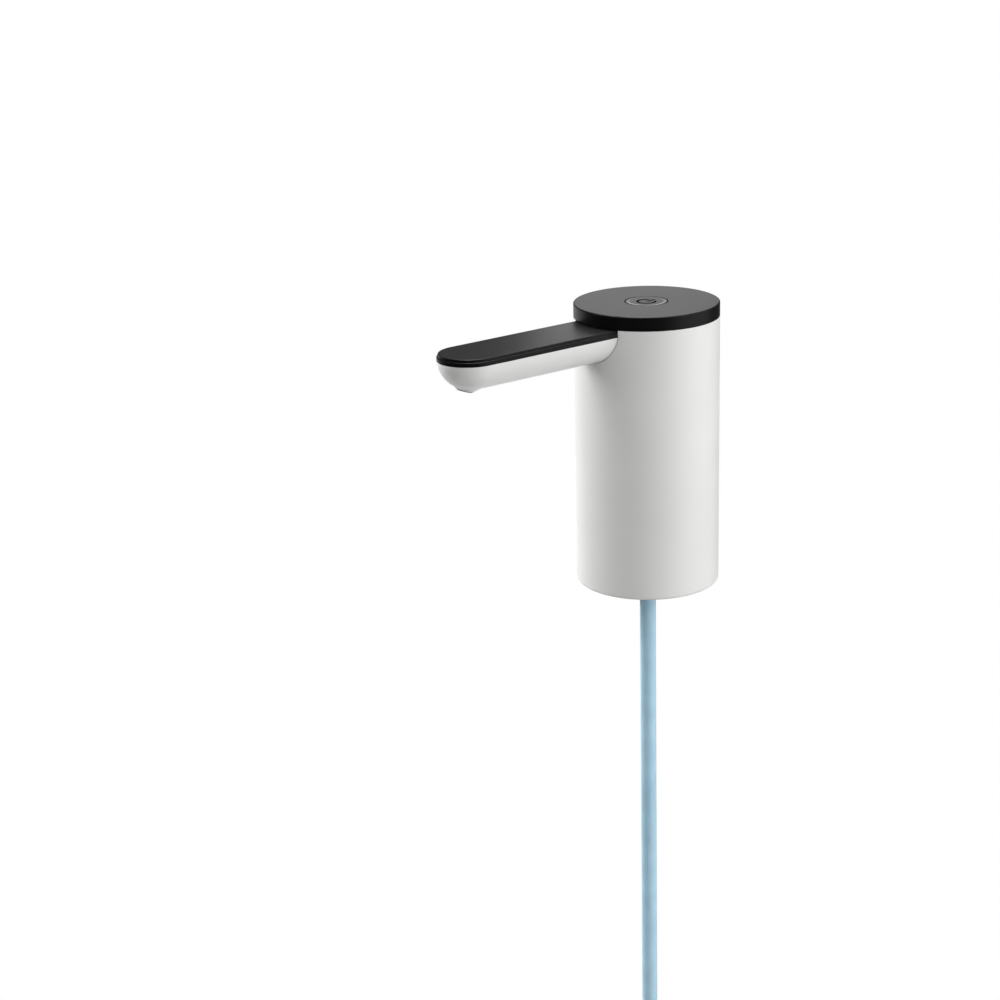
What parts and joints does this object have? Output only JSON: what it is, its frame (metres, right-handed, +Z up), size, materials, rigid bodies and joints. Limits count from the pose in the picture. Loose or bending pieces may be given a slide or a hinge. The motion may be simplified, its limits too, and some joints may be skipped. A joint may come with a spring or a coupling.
{
  "type": "electric water jug pump",
  "caption": "Round electric pump that sits over a water bottle's neck: push button in a black lid, half-round spout arm with a tilted mouth, gear pump inside and a hanging suction hose.",
  "frame": {"origin": "on the round body's axis, in the plane of its bottom rim, which is the mouth of the neck socket", "axes": "+Z up along the body's axis, the spout arm points along -Y, the charging socket is at the back, +Y"},
  "size_m": [0.07, 0.156, 0.5776],
  "materials": {
    "white_plastic": "satin white moulding",
    "black_plastic": "fine matte black moulding",
    "dark_plastic": "matte",
    "grey_plastic": "matte",
    "grey_silicone": "soft satin",
    "clear_silicone": "milky",
    "hose_silicone": "translucent pale blue",
    "black_rubber": "matte",
    "steel": "plated",
    "brass": "machined",
    "copper": "enamelled wire and bare copper",
    "magnet": "sintered",
    "board": "solder mask",
    "cell_wrap": "shrink wrap",
    "red_lead": "insulation",
    "white_lead": "insulation"
  },
  "bodies": {
    "housing": {"body_shell": "white_plastic", "top_lid": "black_plastic", "lid_gasket": "grey_silicone", "tact_switch": "dark_plastic", "switch_board": "board", "switch_screws": "steel", "arm_shell": "white_plastic", "arm_cover": "black_plastic", "nozzle": "grey_plastic", "arm_screws": "steel", "delivery_tube": "clear_silicone", "neck_collar": "white_plastic", "neck_grip": "grey_silicone", "chassis_screws": "steel", "intake_nipple": "grey_plastic", "intake_seal": "black_rubber", "suction_hose": "hose_silicone", "chassis": "white_plastic", "pump_cover": "grey_plastic", "pump_gasket": "black_rubber", "pump_body": "grey_plastic", "idler_pin": "steel", "shaft_seal": "black_rubber", "pump_screws": "steel", "motor_can": "steel", "motor_magnets": "magnet", "motor_bushes": "brass", "motor_brushes": "copper", "motor_endcap": "dark_plastic", "motor_terminals": "brass", "battery_cell": "cell_wrap", "battery_tabs": "steel", "circuit_board": "board", "board_components": "dark_plastic", "usb_socket": "steel", "motor_leads": "red_lead", "battery_leads": "red_lead", "switch_leads": "white_lead"},
    "button": {"button_cap": "black_plastic"},
    "plunger": {"switch_plunger": "dark_plastic"},
    "rotor": {"motor_shaft": "steel", "motor_armature": "steel", "motor_windings": "copper", "motor_commutator": "copper", "drive_gear": "brass"},
    "idler": {"idler_gear": "brass"}
  },
  "joints": [
    {"name": "button_press", "type": "slide", "parent": "housing", "child": "button", "axis": [0, 0, -1], "range_m": [0, 0.0006], "stiffness_N_per_m": 1500, "springref_m": -0.0003},
    {"name": "plunger_press", "type": "slide", "parent": "housing", "child": "plunger", "axis": [0, 0, -1], "range_m": [0, 0.0006]},
    {"name": "rotor_spin", "type": "hinge", "parent": "housing", "child": "rotor", "pos_m": [0.005, -0.00443, 0.0478], "axis": [0, 0, 1], "continuous": true},
    {"name": "idler_spin", "type": "hinge", "parent": "housing", "child": "idler", "pos_m": [-0.005, -0.00443, 0.0393], "axis": [0, 0, 1], "continuous": true}
  ],
  "couplings": [
    {"joint": "plunger_press", "follows": "button_press", "ratio": 1},
    {"joint": "idler_spin", "follows": "rotor_spin", "ratio": -1}
  ]
}
